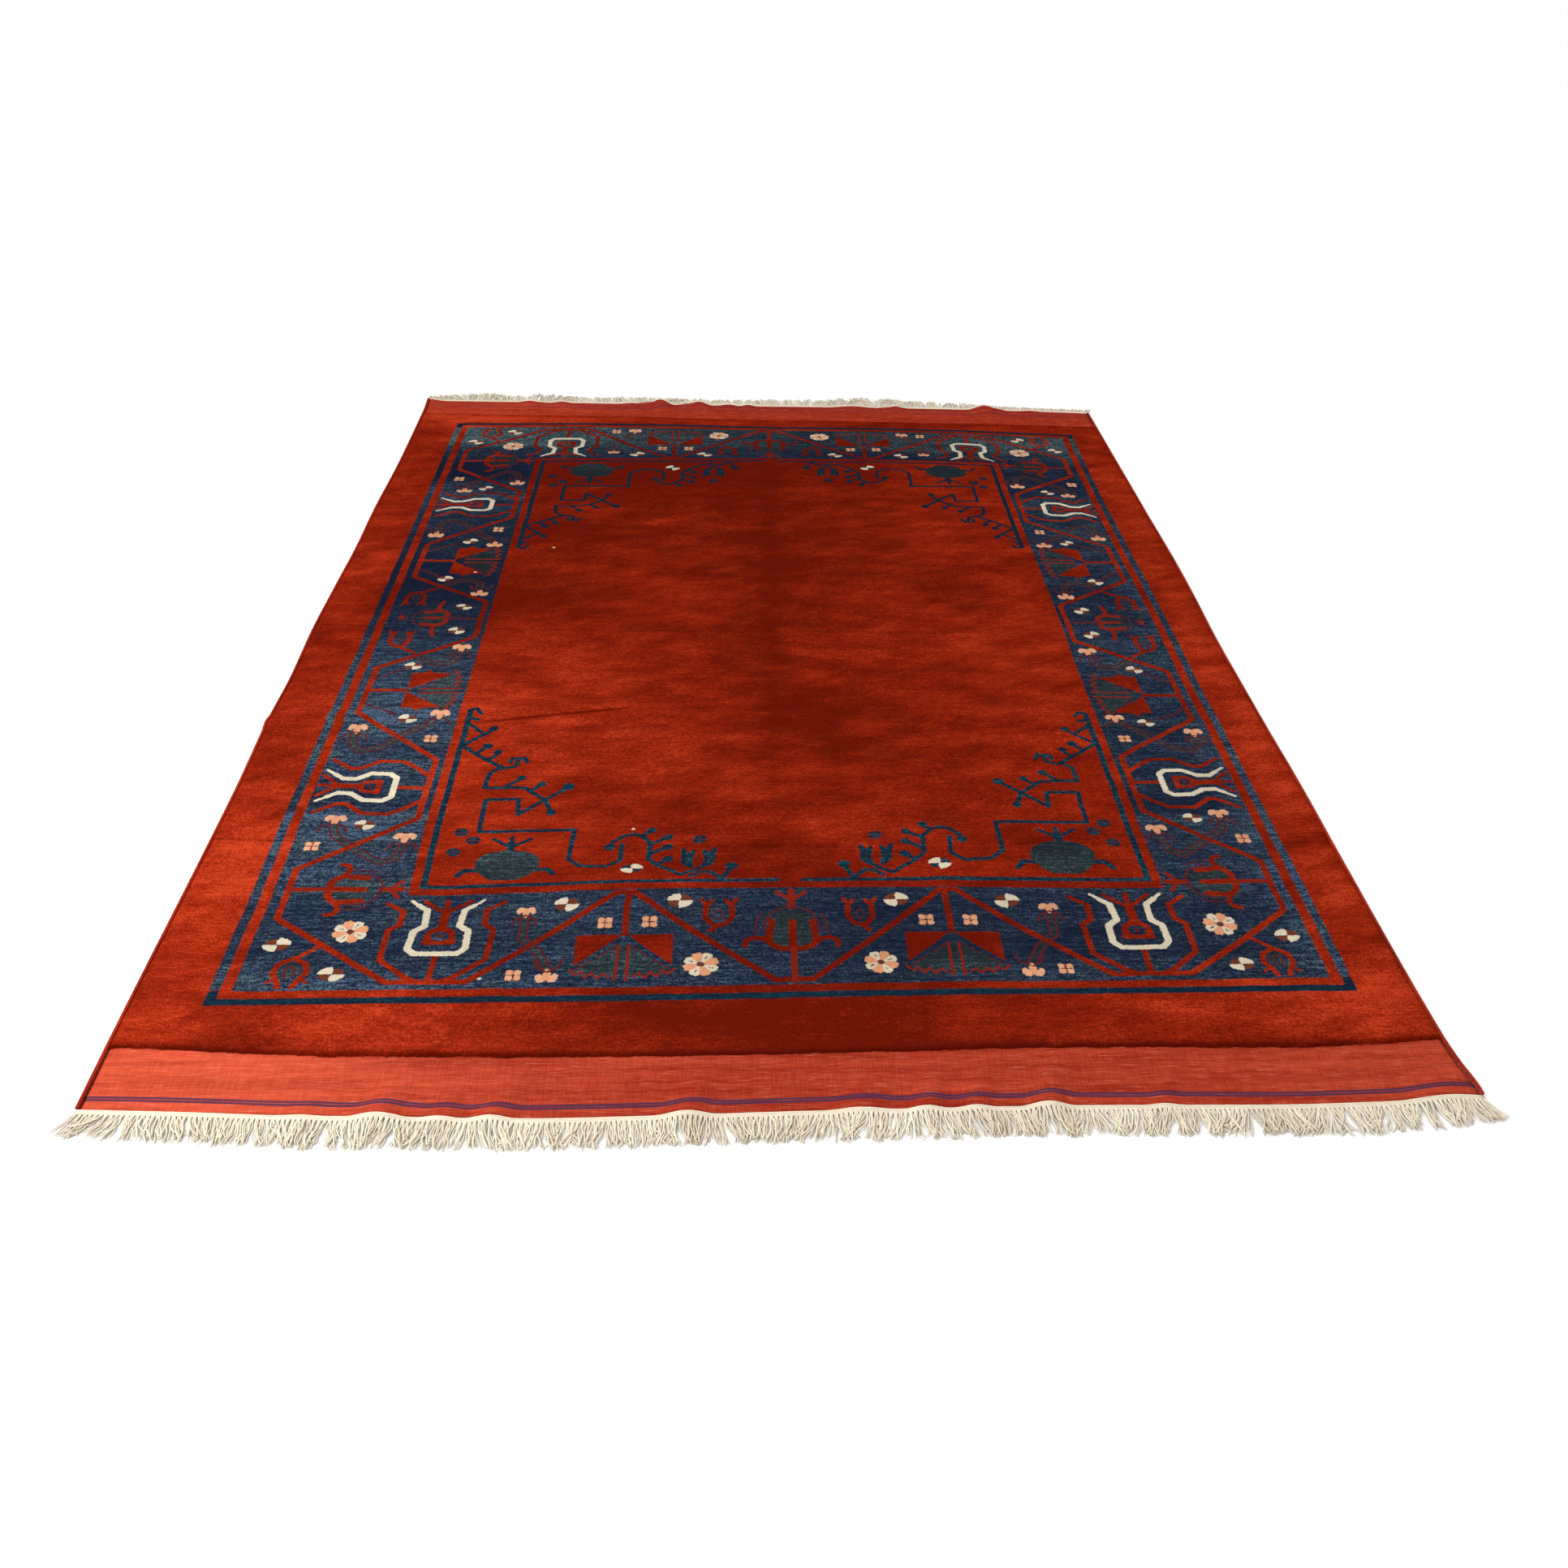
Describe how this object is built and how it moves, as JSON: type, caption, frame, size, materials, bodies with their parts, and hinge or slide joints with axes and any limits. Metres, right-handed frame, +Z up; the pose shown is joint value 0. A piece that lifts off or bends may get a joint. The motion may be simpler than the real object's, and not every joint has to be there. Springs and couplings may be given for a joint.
{
  "type": "gabbeh rug",
  "caption": "Hand-knotted wool rug lying flat, with deep pile, flat-woven ends, overcast sides and cotton fringes.",
  "frame": {"origin": "on the floor, under the middle of the rug", "axes": "+Z up out of the pile; +Y along the rug's length, from the front fringe to the back one; +X across its width, to the right"},
  "size_m": [2.1458, 3.1938, 0.02],
  "materials": {
    "rug_wool": "brick-red hand-spun wool pile with a slate-blue flowered border, and salmon-red flat weave at the ends",
    "selvedge_wool": "dark red wool overcasting",
    "fringe_cotton": "undyed cream cotton warp ends, twined at the root"
  },
  "bodies": {
    "root": {"rug_body": "rug_wool", "selvedge_left": "selvedge_wool", "selvedge_right": "selvedge_wool", "fringe_front": "fringe_cotton", "fringe_back": "fringe_cotton"}
  },
  "joints": []
}
